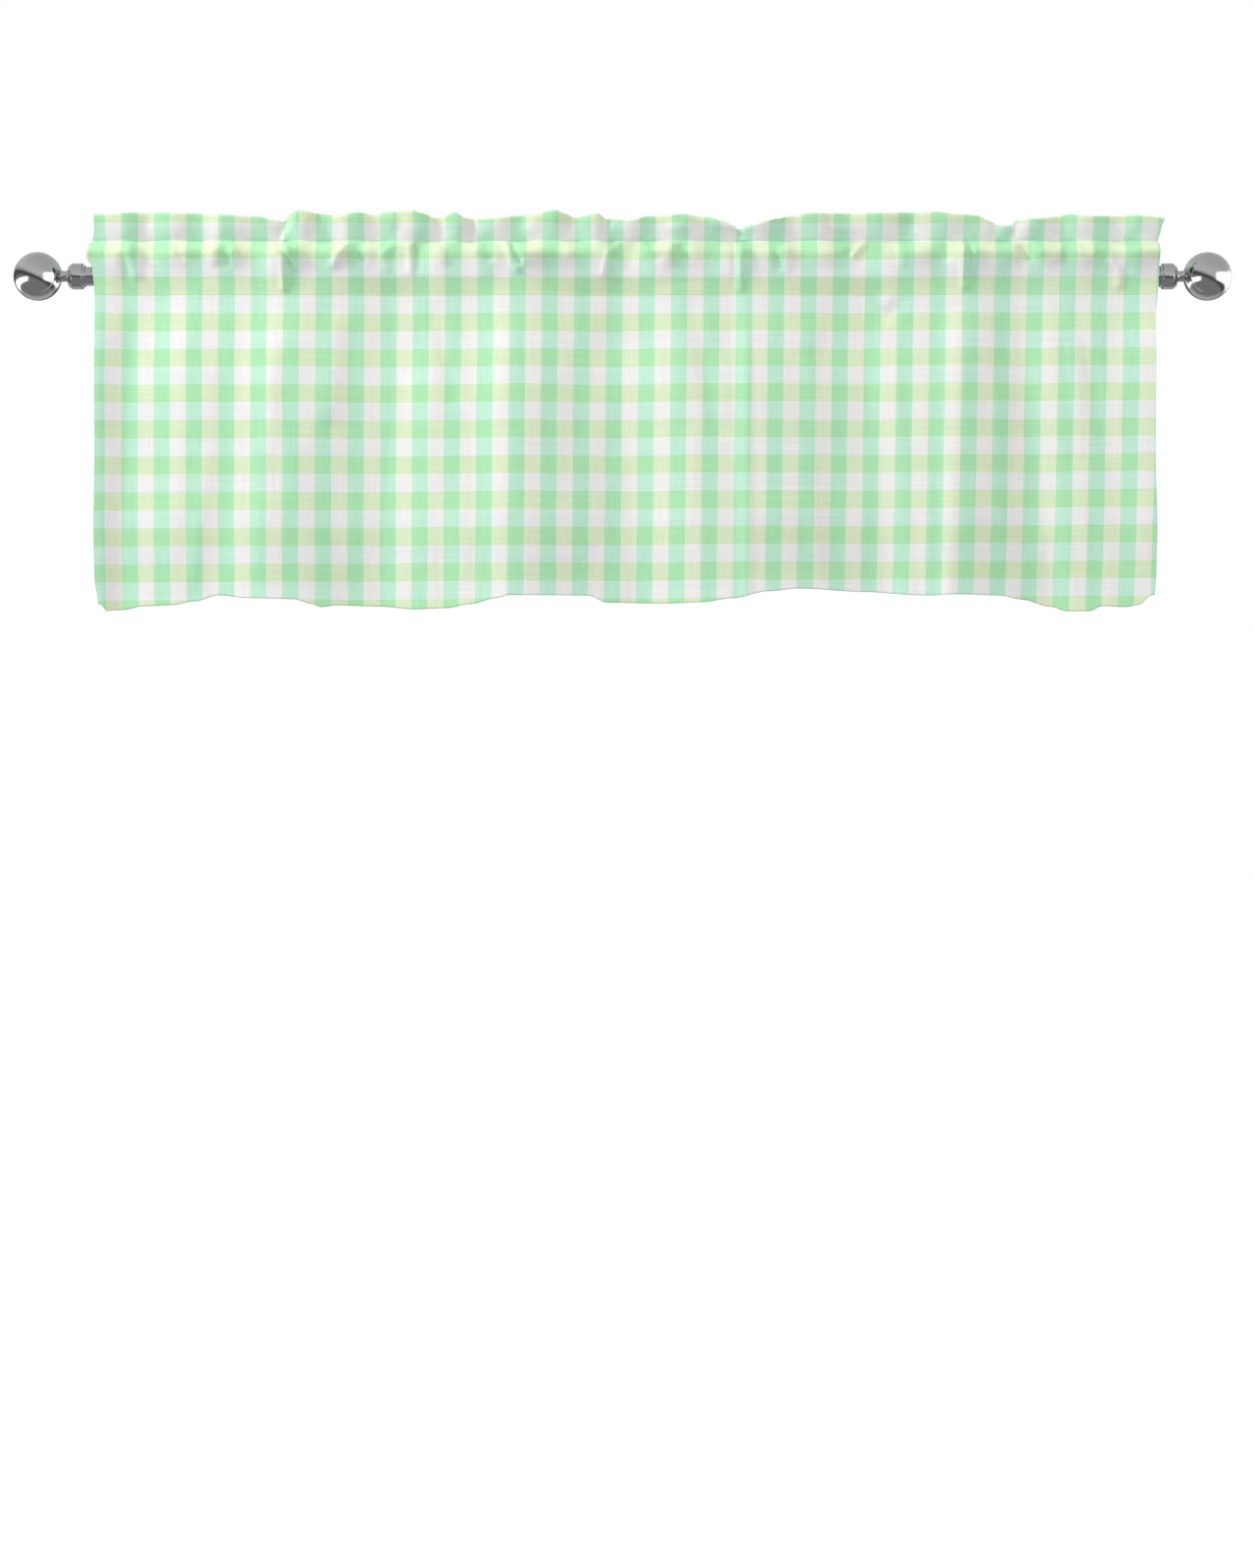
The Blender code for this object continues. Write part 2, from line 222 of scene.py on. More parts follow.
# How full the front of the pocket stands along the rod.
Stand = namedtuple("Stand", "x share")
pocketStands = (
    Stand(-0.633, 1.0),
    Stand(-0.599, 0.7),
    Stand(-0.573, 1.5),
    Stand(-0.548, 0.6),
    Stand(-0.512, 1.1),
    Stand(-0.485, 0.7),
    Stand(-0.460, 1.2),
    Stand(-0.426, 0.6),
    Stand(-0.386, 1.4),
    Stand(-0.360, 0.7),
    Stand(-0.308, 1.7),
    Stand(-0.263, 1.3),
    Stand(-0.234, 0.6),
    Stand(-0.198, 1.0),
    Stand(-0.177, 0.7),
    Stand(-0.158, 1.2),
    Stand(-0.135, 0.7),
    Stand(-0.103, 1.5),
    Stand(-0.063, 1.4),
    Stand(-0.023, 1.7),
    Stand(0.011, 0.6),
    Stand(0.048, 1.3),
    Stand(0.076, 0.9),
    Stand(0.104, 0.7),
    Stand(0.128, 1.0),
    Stand(0.155, 0.7),
    Stand(0.185, 1.2),
    Stand(0.210, 0.9),
    Stand(0.242, 1.3),
    Stand(0.285, 0.7),
    Stand(0.352, 1.1),
    Stand(0.372, 0.7),
    Stand(0.412, 1.2),
    Stand(0.447, 1.3),
    Stand(0.470, 0.8),
    Stand(0.492, 1.2),
    Stand(0.514, 0.7),
    Stand(0.542, 1.3),
    Stand(0.570, 0.8),
    Stand(0.602, 1.2),
    Stand(0.633, 0.8),
)

# How high the header stands.
Top = namedtuple("Top", "x z")
topLine = (
    Top(-0.6150, 0.0730),
    Top(-0.5557, 0.0752),
    Top(-0.4965, 0.0741),
    Top(-0.4509, 0.0718),
    Top(-0.4235, 0.0707),
    Top(-0.4053, 0.0673),
    Top(-0.3927, 0.0650),
    Top(-0.3870, 0.0707),
    Top(-0.3825, 0.0752),
    Top(-0.3733, 0.0775),
    Top(-0.3551, 0.0741),
    Top(-0.3323, 0.0718),
    Top(-0.3049, 0.0752),
    Top(-0.2913, 0.0730),
    Top(-0.2639, 0.0764),
    Top(-0.2457, 0.0775),
    Top(-0.2320, 0.0741),
    Top(-0.2183, 0.0695),
    Top(-0.2046, 0.0707),
    Top(-0.1955, 0.0752),
    Top(-0.1818, 0.0684),
    Top(-0.1590, 0.0673),
    Top(-0.1454, 0.0684),
    Top(-0.1317, 0.0707),
    Top(-0.0997, 0.0730),
    Top(-0.0861, 0.0764),
    Top(-0.0769, 0.0775),
    Top(-0.0678, 0.0741),
    Top(-0.0541, 0.0695),
    Top(-0.0450, 0.0707),
    Top(-0.0313, 0.0741),
    Top(-0.0268, 0.0741),
    Top(-0.0222, 0.0684),
    Top(-0.0131, 0.0673),
    Top(0.0097, 0.0661),
    Top(0.0279, 0.0707),
    Top(0.0735, 0.0730),
    Top(0.0963, 0.0695),
    Top(0.1191, 0.0650),
    Top(0.1283, 0.0604),
    Top(0.1351, 0.0559),
    Top(0.1465, 0.0604),
    Top(0.1647, 0.0638),
    Top(0.1784, 0.0673),
    Top(0.1966, 0.0718),
    Top(0.2240, 0.0741),
    Top(0.2878, 0.0741),
    Top(0.3357, 0.0752),
    Top(0.3608, 0.0752),
    Top(0.3882, 0.0730),
    Top(0.4110, 0.0718),
    Top(0.4246, 0.0661),
    Top(0.4360, 0.0604),
    Top(0.4497, 0.0604),
    Top(0.4566, 0.0661),
    Top(0.4794, 0.0673),
    Top(0.5022, 0.0707),
    Top(0.5159, 0.0730),
    Top(0.5432, 0.0707),
    Top(0.5979, 0.0718),
    Top(0.6299, 0.0661),
)

# How far each side edge stands outside its straight line, by height.
Side = namedtuple("Side", "z left right")
sides = (
    Side(0.0740, 0.0010, 0.0120),
    Side(0.0500, 0.0005, 0.0050),
    Side(0.0400, 0.0030, 0.0020),
    Side(0.0320, 0.0085, 0.0035),
    Side(0.0190, 0.0085, 0.0035),
    Side(0.0080, 0.0025, 0.0025),
    Side(-0.0100, 0.0010, 0.0025),
    Side(-0.0225, 0.0000, 0.0015),
    Side(-0.0500, -0.0005, -0.0010),
    Side(-0.2000, -0.0010, -0.0020),
    Side(-0.3000, 0.0005, 0.0005),
    Side(-0.3500, 0.0000, 0.0000),
    Side(-0.3900, -0.0050, -0.0030),
)

# Creases drawn one by one: each runs from one point to another, a ridge where height is above 0.
Crease = namedtuple("Crease", "x z endX endZ width height")
pocketCreases = (
    Crease(-0.573, 0.034, -0.562, -0.004, 0.006, 0.0028),
    Crease(-0.580, 0.024, -0.572, -0.012, 0.005, -0.0023),
    Crease(-0.517, 0.033, -0.509, 0.018, 0.004, -0.0021),
    Crease(-0.478, 0.036, -0.472, 0.012, 0.006, 0.0025),
    Crease(-0.462, 0.032, -0.458, 0.010, 0.006, -0.0030),
    Crease(-0.451, 0.040, -0.451, 0.010, 0.0035, 0.0025),
    Crease(-0.405, 0.048, -0.384, 0.010, 0.0035, -0.0034),
    Crease(-0.398, 0.050, -0.380, 0.008, 0.0035, 0.0039),
    Crease(-0.394, 0.020, -0.393, -0.022, 0.0040, 0.0039),
    Crease(-0.386, 0.018, -0.386, -0.020, 0.0040, -0.0023),
    Crease(-0.317, 0.042, -0.338, 0.008, 0.0045, 0.0039),
    Crease(-0.308, 0.036, -0.303, 0.014, 0.0065, -0.0039),
    Crease(-0.262, 0.040, -0.279, 0.022, 0.0045, 0.0030),
    Crease(-0.279, 0.022, -0.272, 0.004, 0.0040, 0.0021),
    Crease(-0.247, 0.040, -0.246, 0.002, 0.0035, 0.0030),
    Crease(-0.238, 0.036, -0.238, 0.006, 0.0040, -0.0018),
    Crease(-0.220, 0.038, -0.205, 0.014, 0.0050, 0.0025),
    Crease(-0.181, 0.038, -0.168, 0.026, 0.0050, 0.0023),
    Crease(-0.158, 0.036, -0.154, 0.016, 0.0060, -0.0034),
    Crease(-0.138, 0.042, -0.124, 0.006, 0.0035, 0.0041),
    Crease(-0.131, 0.040, -0.117, 0.010, 0.0030, -0.0030),
    Crease(-0.124, 0.004, -0.112, 0.016, 0.0035, 0.0030),
    Crease(-0.112, 0.020, -0.117, 0.036, 0.0040, 0.0018),
    Crease(-0.066, 0.040, -0.060, 0.020, 0.0050, 0.0023),
    Crease(-0.001, 0.044, -0.018, 0.020, 0.0035, 0.0041),
    Crease(-0.018, 0.020, -0.023, -0.002, 0.0035, 0.0034),
    Crease(-0.009, 0.038, -0.014, 0.000, 0.0035, -0.0034),
    Crease(0.030, 0.038, 0.044, 0.018, 0.0065, -0.0039),
    Crease(0.022, 0.040, 0.029, 0.026, 0.0040, 0.0021),
    Crease(0.068, 0.036, 0.074, 0.016, 0.0070, -0.0037),
    Crease(0.055, 0.040, 0.055, 0.012, 0.0055, 0.0025),
    Crease(0.136, 0.052, 0.137, -0.020, 0.0035, 0.0032),
    Crease(0.131, 0.050, 0.131, -0.016, 0.0035, -0.0028),
    Crease(0.177, 0.036, 0.183, 0.004, 0.0055, -0.0028),
    Crease(0.189, 0.038, 0.190, 0.006, 0.0050, 0.0023),
    Crease(0.281, 0.040, 0.265, 0.020, 0.0035, 0.0034),
    Crease(0.273, 0.038, 0.260, 0.022, 0.0035, -0.0028),
    Crease(0.322, 0.038, 0.326, 0.010, 0.0050, 0.0023),
    Crease(0.345, 0.042, 0.362, 0.040, 0.0040, 0.0023),
    Crease(0.374, 0.036, 0.378, 0.018, 0.0050, -0.0028),
    Crease(0.394, 0.040, 0.396, -0.018, 0.0035, 0.0039),
    Crease(0.402, 0.038, 0.403, -0.010, 0.0040, -0.0034),
    Crease(0.449, 0.040, 0.459, 0.018, 0.0045, 0.0028),
    Crease(0.462, 0.036, 0.470, 0.016, 0.0045, -0.0028),
    Crease(0.476, 0.040, 0.486, 0.022, 0.0040, 0.0025),
    Crease(0.510, 0.038, 0.502, 0.016, 0.0050, 0.0023),
    Crease(0.530, 0.040, 0.541, 0.024, 0.0045, -0.0028),
    Crease(0.562, 0.018, 0.577, 0.003, 0.0045, 0.0034),
    Crease(0.577, 0.003, 0.575, -0.016, 0.0045, 0.0030),
    Crease(0.570, 0.022, 0.588, 0.004, 0.0050, -0.0021),
)

headerCreases = (
    Crease(-0.560, 0.044, -0.548, 0.070, 0.0070, -0.0012),
    Crease(-0.470, 0.042, -0.466, 0.068, 0.0080, 0.0012),
    Crease(-0.402, 0.042, -0.386, 0.066, 0.0040, -0.0029),
    Crease(-0.392, 0.040, -0.378, 0.074, 0.0050, 0.0026),
    Crease(-0.362, 0.042, -0.352, 0.072, 0.0060, -0.0017),
    Crease(-0.318, 0.042, -0.326, 0.070, 0.0060, 0.0015),
    Crease(-0.262, 0.042, -0.256, 0.076, 0.0060, -0.0015),
    Crease(-0.206, 0.042, -0.213, 0.072, 0.0055, -0.0020),
    Crease(-0.176, 0.042, -0.172, 0.068, 0.0050, -0.0019),
    Crease(-0.112, 0.042, -0.100, 0.074, 0.0070, 0.0017),
    Crease(-0.070, 0.042, -0.058, 0.072, 0.0055, -0.0019),
    Crease(-0.024, 0.042, -0.016, 0.068, 0.0045, -0.0022),
    Crease(0.052, 0.044, 0.082, 0.047, 0.0050, -0.0017),
    Crease(0.072, 0.066, 0.135, 0.054, 0.0050, 0.0022),
    Crease(0.135, 0.042, 0.135, 0.060, 0.0040, -0.0034),
    Crease(0.140, 0.052, 0.190, 0.072, 0.0055, 0.0022),
    Crease(0.244, 0.042, 0.238, 0.074, 0.0070, -0.0015),
    Crease(0.330, 0.042, 0.338, 0.074, 0.0070, -0.0015),
    Crease(0.428, 0.042, 0.436, 0.060, 0.0050, -0.0026),
    Crease(0.452, 0.042, 0.458, 0.062, 0.0045, -0.0022),
    Crease(0.512, 0.042, 0.506, 0.072, 0.0065, -0.0017),
    Crease(0.585, 0.042, 0.598, 0.070, 0.0070, 0.0014),
)

# Soft swellings between the creases.
Puff = namedtuple("Puff", "x z wide high height")
pocketPuffs = (
    Puff(-0.5899, 0.0160, 0.0160, 0.0160, 0.0037),
    Puff(-0.5284, 0.0228, 0.0228, 0.0137, 0.0031),
    Puff(-0.4714, 0.0274, 0.0137, 0.0160, 0.0037),
    Puff(-0.4018, 0.0160, 0.0114, 0.0228, 0.0037),
    Puff(-0.3255, 0.0274, 0.0251, 0.0137, 0.0044),
    Puff(-0.2137, 0.0228, 0.0137, 0.0160, 0.0025),
    Puff(-0.1716, 0.0251, 0.0160, 0.0160, 0.0037),
    Puff(-0.0997, 0.0228, 0.0228, 0.0125, 0.0040),
    Puff(-0.0541, 0.0217, 0.0228, 0.0125, 0.0037),
    Puff(-0.0268, 0.0137, 0.0114, 0.0160, 0.0025),
    Puff(0.0416, 0.0296, 0.0205, 0.0114, 0.0044),
    Puff(0.1385, 0.0182, 0.0091, 0.0182, 0.0031),
    Puff(0.1681, 0.0228, 0.0137, 0.0137, 0.0025),
    Puff(0.2308, 0.0228, 0.0205, 0.0125, 0.0037),
    Puff(0.3414, 0.0228, 0.0182, 0.0137, 0.0025),
    Puff(0.3984, 0.0137, 0.0160, 0.0182, 0.0037),
    Puff(0.4406, 0.0182, 0.0137, 0.0137, 0.0031),
    Puff(0.4862, 0.0228, 0.0137, 0.0137, 0.0025),
    Puff(0.5329, 0.0228, 0.0182, 0.0137, 0.0031),
    Puff(0.5865, 0.0205, 0.0205, 0.0137, 0.0031),
)

headerPuffs = (
    Puff(-0.5728, 0.0524, 0.0160, 0.0091, 0.0015),
    Puff(-0.5193, 0.0524, 0.0274, 0.0091, 0.0014),
    Puff(-0.4509, 0.0524, 0.0251, 0.0091, 0.0012),
    Puff(-0.3688, 0.0593, 0.0103, 0.0103, 0.0022),
    Puff(-0.2707, 0.0616, 0.0137, 0.0091, 0.0022),
    Puff(-0.2343, 0.0524, 0.0137, 0.0091, 0.0017),
    Puff(-0.1841, 0.0593, 0.0103, 0.0091, 0.0022),
    Puff(-0.1613, 0.0502, 0.0103, 0.0068, 0.0017),
    Puff(-0.1032, 0.0547, 0.0137, 0.0080, 0.0019),
    Puff(-0.0747, 0.0684, 0.0137, 0.0068, 0.0017),
    Puff(-0.0450, 0.0593, 0.0103, 0.0091, 0.0015),
    Puff(-0.0120, 0.0547, 0.0114, 0.0080, 0.0020),
    Puff(0.0621, 0.0524, 0.0148, 0.0068, 0.0024),
    Puff(0.1055, 0.0570, 0.0160, 0.0080, 0.0017),
    Puff(0.1761, 0.0559, 0.0114, 0.0091, 0.0019),
    Puff(0.2194, 0.0684, 0.0137, 0.0068, 0.0015),
    Puff(0.2536, 0.0547, 0.0205, 0.0080, 0.0020),
    Puff(0.3221, 0.0684, 0.0137, 0.0068, 0.0014),
    Puff(0.3768, 0.0593, 0.0137, 0.0103, 0.0019),
    Puff(0.4383, 0.0524, 0.0103, 0.0080, 0.0022),
    Puff(0.4748, 0.0570, 0.0125, 0.0091, 0.0019),
    Puff(0.5272, 0.0570, 0.0137, 0.0091, 0.0017),
    Puff(0.6002, 0.0593, 0.0182, 0.0091, 0.0015),
)

bodyCreases = (
    Crease(0.2790, -0.012, 0.3060, -0.050, 0.0070, -0.0030),
    Crease(0.3060, -0.050, 0.3360, -0.014, 0.0070, -0.0030),
    Crease(0.2860, -0.004, 0.3060, -0.034, 0.0060, 0.0022),
    Crease(0.3060, -0.034, 0.3260, -0.006, 0.0060, 0.0022),
    Crease(-0.2233, -0.026, -0.1920, -0.150, 0.0100, -0.0016),
    Crease(0.0780, -0.026, 0.1130, -0.190, 0.0100, -0.0016),
    Crease(0.5240, -0.026, 0.5640, -0.210, 0.0110, -0.0016),
    Crease(-0.4050, -0.090, -0.4250, -0.350, 0.0090, 0.0010),
    Crease(-0.3300, -0.050, -0.3420, -0.170, 0.0140, 0.0018),
    Crease(-0.4800, -0.200, -0.5000, -0.360, 0.0100, 0.0012),
    Crease(0.2150, -0.060, 0.2240, -0.330, 0.0120, 0.0012),
    Crease(0.4300, -0.080, 0.4420, -0.340, 0.0100, 0.0010),
)


def ease(share):
    share = np.clip(share, 0.0, 1.0)
    return share * share * (3 - 2 * share)


def between(places, values, at):
    # eases from each listed value to the next
    at = np.asarray(at, dtype=float)
    places, values = np.broadcast_arrays(np.asarray(places, float), np.asarray(values, float))
    step = np.clip(np.searchsorted(places, at) - 1, 0, len(places) - 2)
    share = (at - places[step]) / (places[step + 1] - places[step])
    return values[step] + (values[step + 1] - values[step]) * ease(share)


def creasedBetween(places, values, at):
    # as between, with sharper ridges and valleys and straighter flanks
    straight = np.interp(at, places, values)
    return straight + (between(places, values, at) - straight) * cloth["foldRoundness"]


def columnOf(rows, name):
    return np.array([getattr(row, name) for row in rows])


def creased(creases, x, z):
    # how far forward the creases push the cloth at each point
    total = np.zeros(np.broadcast(x, z).shape)
    for row in creases:
        alongX, alongZ = row.endX - row.x, row.endZ - row.z
        length = math.hypot(alongX, alongZ)
        along = ((x - row.x) * alongX + (z - row.z) * alongZ) / length
        away = ((x - row.x) * alongZ - (z - row.z) * alongX) / length
        fade = min(0.012, length * 0.35)
        ends = ease((along + fade * 0.5) / fade) * ease((length + fade * 0.5 - along) / fade)
        total = total + row.height * np.exp(-(away / row.width) ** 2) * ends
    return total


def swollen(puffs, x, z):
    total = np.zeros(np.broadcast(x, z).shape)
    for row in puffs:
        total = total + row.height * np.exp(-((x - row.x) / row.wide) ** 2 - ((z - row.z) / row.high) ** 2)
    return total


def rippled(x, z):
    # the cloth is never quite flat between its folds
    total = 0.0
    for wide, high, turn, height in cloth["ripples"]:
        total = total + height * np.sin(x / wide + turn + 0.6 * np.sin(z / high)) * np.cos(z / high + 2 * turn)
    return total


def sideShift(x, z):
    heights = -columnOf(sides, "z")
    left = between(heights, columnOf(sides, "left"), -z)
    right = between(heights, columnOf(sides, "right"), -z)
    nearLeft = ease(1 - (x - cloth["leftEdge"]) / cloth["edgeReach"])
    nearRight = ease(1 - (cloth["rightEdge"] - x) / cloth["edgeReach"])
    return right * nearRight - left * nearLeft


def gatherForward(x):
    return between(columnOf(gathers, "x"), columnOf(gathers, "forward"), x)


def headerTop(x):
    return between(columnOf(topLine, "x"), columnOf(topLine, "z"), x)


def hemHeight(x):
    return between(columnOf(hemLine, "x"), columnOf(hemLine, "z"), x)


def layerSpread(x):
    step = 0.003
    slope = (gatherForward(x + step) - gatherForward(x - step)) / (2 * step)
    return np.hypot(1.0, slope * (1 + cloth["headerFlare"]))


def tightLine(z, seam, seamForward):
    # a layer drawn tight from a seam onto the rod
    hug = cloth["hugRadius"]
    z, seam = abs(z), abs(seam)
    turn = np.arctan2(seamForward, seam) + np.arccos(hug / np.hypot(seam, seamForward))
    touchZ, touchForward = hug * np.cos(turn), hug * np.sin(turn)
    straight = touchForward + (seamForward - touchForward) * (z - touchZ) / (seam - touchZ)
    onRod = np.sqrt(max(hug**2 - z**2, 0.0))
    return np.where(z <= touchZ, onRod, straight)


def foldForward(x, share):
    top, hem = columnOf(folds, "topX"), columnOf(folds, "hemX")
    topForward, hemForward = columnOf(folds, "topForward"), columnOf(folds, "hemForward")
    return creasedBetween(top + (hem - top) * share, topForward + (hemForward - topForward) * share, x)


def seamLine(x):
    # the lower seam swings with the folds below it
    return cloth["seamForward"] + cloth["seamSwing"] * foldForward(x, 0.0)


def pocketSwell(x, level, front):
    # how far a layer of the pocket stands off the line that it would take if drawn tight
    if not 0 < level < 1:
        return np.zeros_like(x)
    if not front:
        return np.maximum(0.0, (cloth["backFullness"] - cloth["pocketFold"] * foldForward(x, 0.0))
                          * math.sin(math.pi * level) ** 0.6)
    peak = cloth["pocketPeak"]
    if level < peak:
        arch = (level / peak) ** 2
    else:
        arch = 1 - ((level - peak) / (1 - peak)) ** 2
    share = between(columnOf(pocketStands, "x"), columnOf(pocketStands, "share"), x)
    return np.maximum(0.0, (cloth["pocketFullness"] * share + cloth["pocketFold"] * foldForward(x, 0.0)) * arch)


def pocketPoint(x, level, front):
    z = cloth["lowerSeam"] + (cloth["upperSeam"] - cloth["lowerSeam"]) * level
    side = 1 if front else -1
    halfGap = cloth["seamGap"] / 2 * layerSpread(x)
    if z > 0:
        tight = tightLine(z, cloth["upperSeam"], side * cloth["upperForward"] + halfGap)
    else:
        tight = tightLine(z, cloth["lowerSeam"], side * seamLine(x) + halfGap)
    fullness = pocketSwell(x, level, front)
    sway = gatherForward(x) * ease(1 - (cloth["upperSeam"] - z) / 0.011)
    forward = side * (tight + fullness) + sway
    if front:
        standing = ease(np.minimum(level, 1 - level) / 0.1)
        drawn = creased(pocketCreases, x, z) + swollen(pocketPuffs, x, z)
        forward = forward + np.maximum(drawn, -0.6 * fullness) * standing
    return x + sideShift(x, z), -forward, np.full_like(x, z)


def headerPoint(x, share, side):
    z = cloth["upperSeam"] + (headerTop(x) - cloth["headerDrop"] - cloth["upperSeam"]) * share
    half = side * cloth["headerGap"] / 2 * layerSpread(x)
    puff = side * cloth["headerPuff"] * math.sin(math.pi * share) ** 0.55 if 0 < share < 1 else 0.0
    crease = (creased(headerCreases, x, z) + swollen(headerPuffs, x, z)) * ease(np.asarray(share / 0.25))
    lean = cloth["headerLean"] * share ** 1.3
    forward = gatherForward(x) * (1 + cloth["headerFlare"] * share) + half + puff + crease + lean
    forward = forward + cloth["upperForward"]
    return x + sideShift(x, z), -forward, z


def bodyPoint(x, share, behind=0.0):
    z = cloth["lowerSeam"] + (hemHeight(x) - cloth["lowerSeam"]) * share
    start = ease((cloth["lowerSeam"] - z) / cloth["foldStart"])
    hanging = between(cloth["bodyShares"], cloth["bodyForwards"], share)
    swing = cloth["seamSwing"] + (1 - cloth["seamSwing"]) * start
    forward = cloth["seamForward"] + cloth["seamGap"] / 2 + hanging + foldForward(x, share) * swing
    drawn = creased(bodyCreases, x, z) + rippled(x, z)
    forward = forward + drawn * np.minimum(ease(np.asarray(share / 0.06)), 1.0) - behind
    return x + sideShift(x, z), -forward, z


def turnInPoint(x):
    seamX, seamY, seamZ = pocketPoint(x, 0.0, False)
    return seamX, seamY + cloth["turnInBack"], seamZ - cloth["turnIn"]


def hemLines(x):
    # the lower edge turns under and is folded up behind
    turnX, turnY, turnZ = bodyPoint(x, 1.0, cloth["hemGap"] / 2)
    folded = 1 - cloth["hemShare"]
    lines = [(turnX, turnY, turnZ - 0.0006)]
    lines += [bodyPoint(x, 1.0, cloth["hemGap"]), bodyPoint(x, (1 + folded) / 2, cloth["hemGap"])]
    lines += [bodyPoint(x, folded, cloth["hemGap"])]
    return lines


def clothLines(x):
    pocketLevels = np.linspace(0, 1, 21)
    headerShares = (0.08, 0.2, 0.35, 0.5, 0.65, 0.8, 0.92, 0.985)
    lines = [turnInPoint(x)]
    lines += [pocketPoint(x, level, False) for level in pocketLevels]
    lines += [headerPoint(x, share, -1) for share in headerShares]
    lines += [headerPoint(x, 1.0, 0)]
    lines += [headerPoint(x, share, 1) for share in reversed(headerShares)]
    lines += [pocketPoint(x, level, True) for level in reversed(pocketLevels)]
    lines += [bodyPoint(x, share) for share in np.linspace(0.012, 0.993, 51)]
    lines += [bodyPoint(x, share) for share in (0.9985, 1.0)]
    lines += hemLines(x)
    return lines


def meshOf(name, rows):
    # a grid of points, row by row
    count = len(rows[0])
    points = [tuple(point) for row in rows for point in row]
    faces = []
    for row in range(len(rows) - 1):
        for column in range(count - 1):
            first = row * count + column
            faces.append((first, first + 1, first + count + 1, first + count))
    mesh = bpy.data.meshes.new(name)
    mesh.from_pydata(points, [], faces)
    mesh.shade_smooth()
    made = bpy.data.objects.new(name, mesh)
    bpy.context.scene.collection.objects.link(made)
    return made


def makeCloth():
    x = np.linspace(cloth["leftEdge"], cloth["rightEdge"], cloth["columns"])
    rows = [np.stack(line, axis=1) for line in clothLines(x)]
    piece = meshOf("valancePanel", rows)
    solid = piece.modifiers.new("thickness", "SOLIDIFY")
    solid.thickness = cloth["thickness"]
    solid.offset = 0.0
    return piece


def applyModifiers(piece):
    graph = bpy.context.evaluated_depsgraph_get()
    mesh = bpy.data.meshes.new_from_object(piece.evaluated_get(graph))
    piece.modifiers.clear()
    piece.data = mesh
    mesh.set_sharp_from_angle(angle=math.radians(75))
    return piece


def makeStitches(name, pointAt, material):
    # a row of short threads; pointAt gives the line that they follow
    starts = np.arange(cloth["leftEdge"] + 0.005, cloth["rightEdge"] - 0.007, stitch["pitch"])
    ends = starts + stitch["length"]
    first, last = np.stack(pointAt(starts), axis=1), np.stack(pointAt(ends), axis=1)
    sides = stitch["sides"]
    points, faces = [], []
    for start, end in zip(first, last):
        base = len(points)
        for share, thick in ((0.0, 0.35), (0.25, 1.0), (0.75, 1.0), (1.0, 0.35)):
            centre = start + (end - start) * share
            for step in range(sides):
                turn = 2 * math.pi * step / sides
                out = stitch["radius"] * thick
                points.append((centre[0], centre[1] + out * math.cos(turn), centre[2] + out * math.sin(turn)))
        for ring in range(3):
            for step in range(sides):
                here, beside = base + ring * sides + step, base + ring * sides + (step + 1) % sides
                faces.append((here, beside, beside + sides, here + sides))
        faces.append(tuple(base + step for step in reversed(range(sides))))
        faces.append(tuple(base + 3 * sides + step for step in range(sides)))
    mesh = bpy.data.meshes.new(name)
    mesh.from_pydata([tuple(map(float, point)) for point in points], [], faces)
    mesh.shade_smooth()
    mesh.materials.append(material)
    made = bpy.data.objects.new(name, mesh)
    bpy.context.scene.collection.objects.link(made)
    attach(made, "root")
    return made


def raised(pointAt, out):
    # the same line, standing off the cloth by out towards the room
    def moved(x):
        atX, atY, atZ = pointAt(x)
        return atX, atY - out, atZ
    return moved


def makeSewing(material):
    out = cloth["thickness"] / 2 + stitch["radius"] * 0.7
    hemShare = 1 - cloth["hemShare"] * 0.88
    return [
        makeStitches("upperSeamThread", raised(lambda x: pocketPoint(x, 1.0, True), out), material),
        makeStitches("lowerSeamThread", raised(lambda x: pocketPoint(x, 0.0, True), out), material),
        makeStitches("hemThread", raised(lambda x: bodyPoint(x, hemShare, cloth["hemGap"]), -out), material),
    ]


class Wire:
    # a shader socket with plain maths on it
    tree = None

    def __init__(self, socket):
        self.socket = socket

    @classmethod
    def node(cls, kind, settings=None, **sockets):
        made = cls.tree.nodes.new(kind)
        for name, value in (settings or {}).items():
            if name == "stops":
                ramp = made.color_ramp
                while len(ramp.elements) > 1:
                    ramp.elements.remove(ramp.elements[-1])
                for index, (place, colour) in enumerate(value):
                    stop = ramp.elements[0] if index == 0 else ramp.elements.new(place)
                    stop.position = place
                    stop.color = (*colour, 1.0)
            else:
                setattr(made, name, value)
        for name, value in sockets.items():
            key = int(name[1:]) if name[0] == "i" and name[1:].isdigit() else name.replace("_", " ")
            if isinstance(value, Wire):
                cls.tree.links.new(value.socket, made.inputs[key])
            else:
                made.inputs[key].default_value = value
        return made

    def maths(self, operation, other=None, swap=False):
        first, second = (other, self) if swap else (self, other)
        sockets = dict(i0=first)
        if second is not None:
            sockets["i1"] = second
        return Wire(Wire.node("ShaderNodeMath", dict(operation=operation), **sockets).outputs[0])

    def __add__(self, other):
        return self.maths("ADD", other)

    def __sub__(self, other):
        return self.maths("SUBTRACT", other)

    def __mul__(self, other):
        return self.maths("MULTIPLY", other)

    def __truediv__(self, other):
        return self.maths("DIVIDE", other)

    def __rsub__(self, other):
        return self.maths("SUBTRACT", other, swap=True)

    def __neg__(self):
        return self.maths("MULTIPLY", -1.0)

    __radd__ = __add__
    __rmul__ = __mul__


